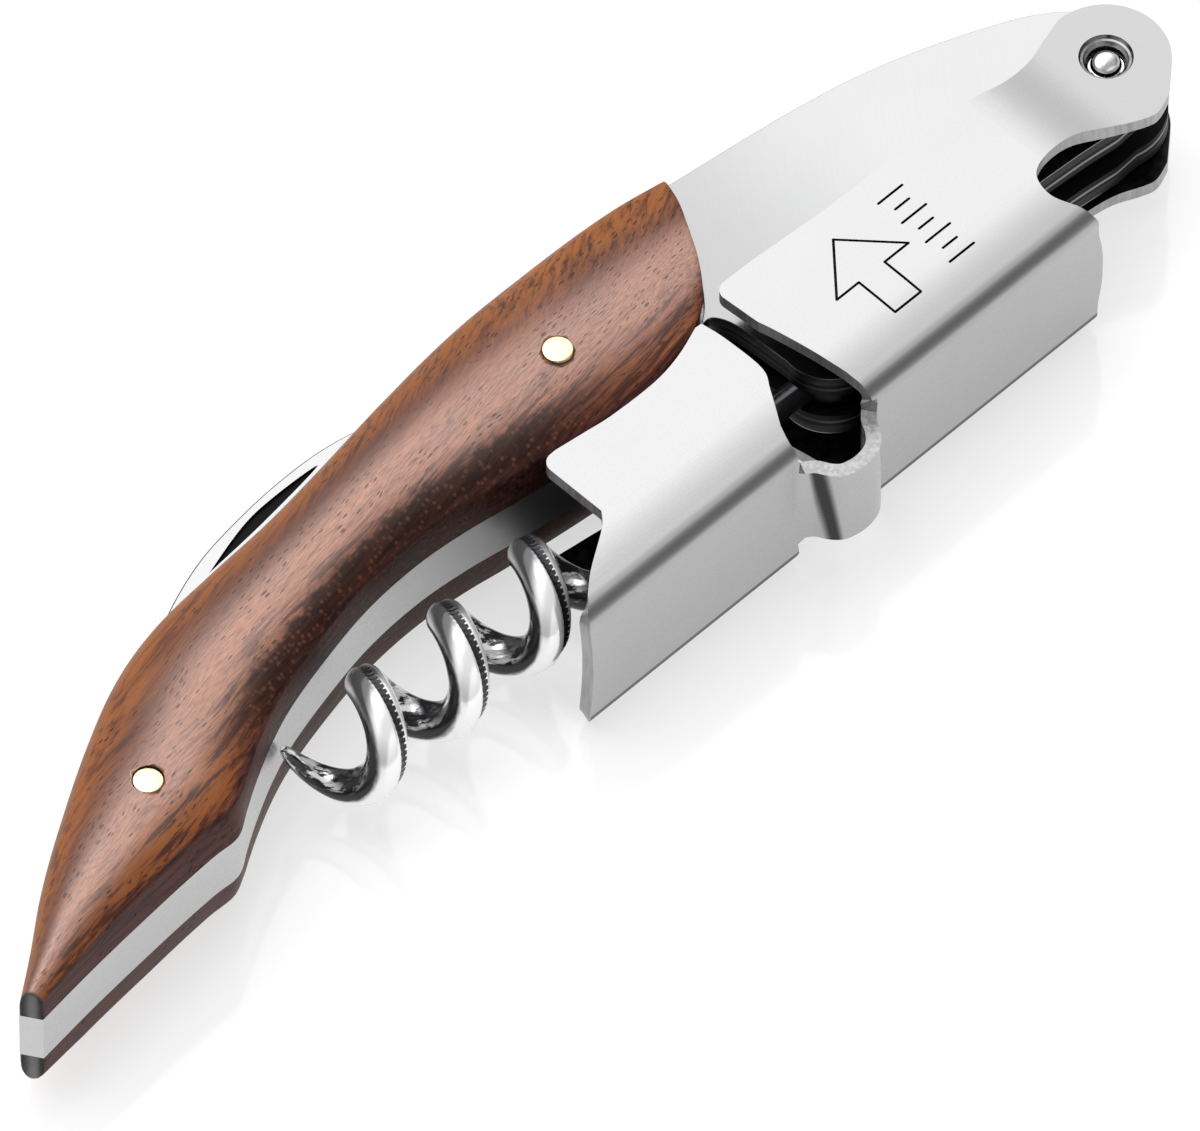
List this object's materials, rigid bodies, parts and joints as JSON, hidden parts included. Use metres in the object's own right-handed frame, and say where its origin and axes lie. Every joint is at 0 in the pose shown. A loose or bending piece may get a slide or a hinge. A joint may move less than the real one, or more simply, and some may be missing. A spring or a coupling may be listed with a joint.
{
  "type": "waiters corkscrew",
  "caption": "Folding waiter's corkscrew with rosewood scales, polished bolsters, a spiral worm, a stepped pressed-steel lever and a foil knife in the handle's back.",
  "frame": {"origin": "middle of the footprint, at the lowest point, with the corkscrew folded and lying on its side", "axes": "+X along the handle from tail to head, +Y towards the back where the knife folds in, +Z through the handle's thickness and along every hinge axis"},
  "size_m": [0.1272, 0.0324, 0.015],
  "materials": {
    "steel": "satin stainless, softly polished",
    "polished_steel": "mirror polished steel",
    "spring_steel": "hardened spring steel, dull",
    "rosewood": "oiled reddish-brown rosewood with dark pores, satin",
    "brass": "polished pale brass"
  },
  "bodies": {
    "handle": {"near_liner": "steel", "far_liner": "steel", "spine_spacer": "steel", "back_spacer": "steel", "knife_spring": "spring_steel", "near_bolster": "polished_steel", "far_bolster": "polished_steel", "near_scale": "rosewood", "far_scale": "rosewood", "knife_pivot_pin": "brass", "handle_pin": "brass", "worm_pin": "steel", "head_bush": "steel", "near_washer": "spring_steel", "far_washer": "spring_steel", "lever_rivet": "polished_steel", "tail_rivet": "steel", "spine_rivet": "steel", "spring_rivet": "steel", "rear_bolster_rivet": "steel", "front_bolster_rivet": "steel"},
    "knife": {"knife_blade": "steel"},
    "worm": {"worm_screw": "polished_steel"},
    "lever": {"lever": "steel"}
  },
  "joints": [
    {"name": "lever_fold", "type": "hinge", "parent": "handle", "child": "lever", "pos_m": [0.05855, -0.00188, 0.0075], "axis": [0, 0, 1], "range_deg": [0, 180]},
    {"name": "worm_fold", "type": "hinge", "parent": "handle", "child": "worm", "pos_m": [0.02505, -0.00528, 0.0075], "axis": [0, 0, 1], "range_deg": [0, 90]},
    {"name": "knife_fold", "type": "hinge", "parent": "handle", "child": "knife", "pos_m": [-0.04355, -0.00046, 0.0075], "axis": [0, 0, 1], "range_deg": [0, 145]}
  ],
  "couplings": [
    {"joint": "worm_fold", "follows": "lever_fold", "ratio": 0.5}
  ]
}
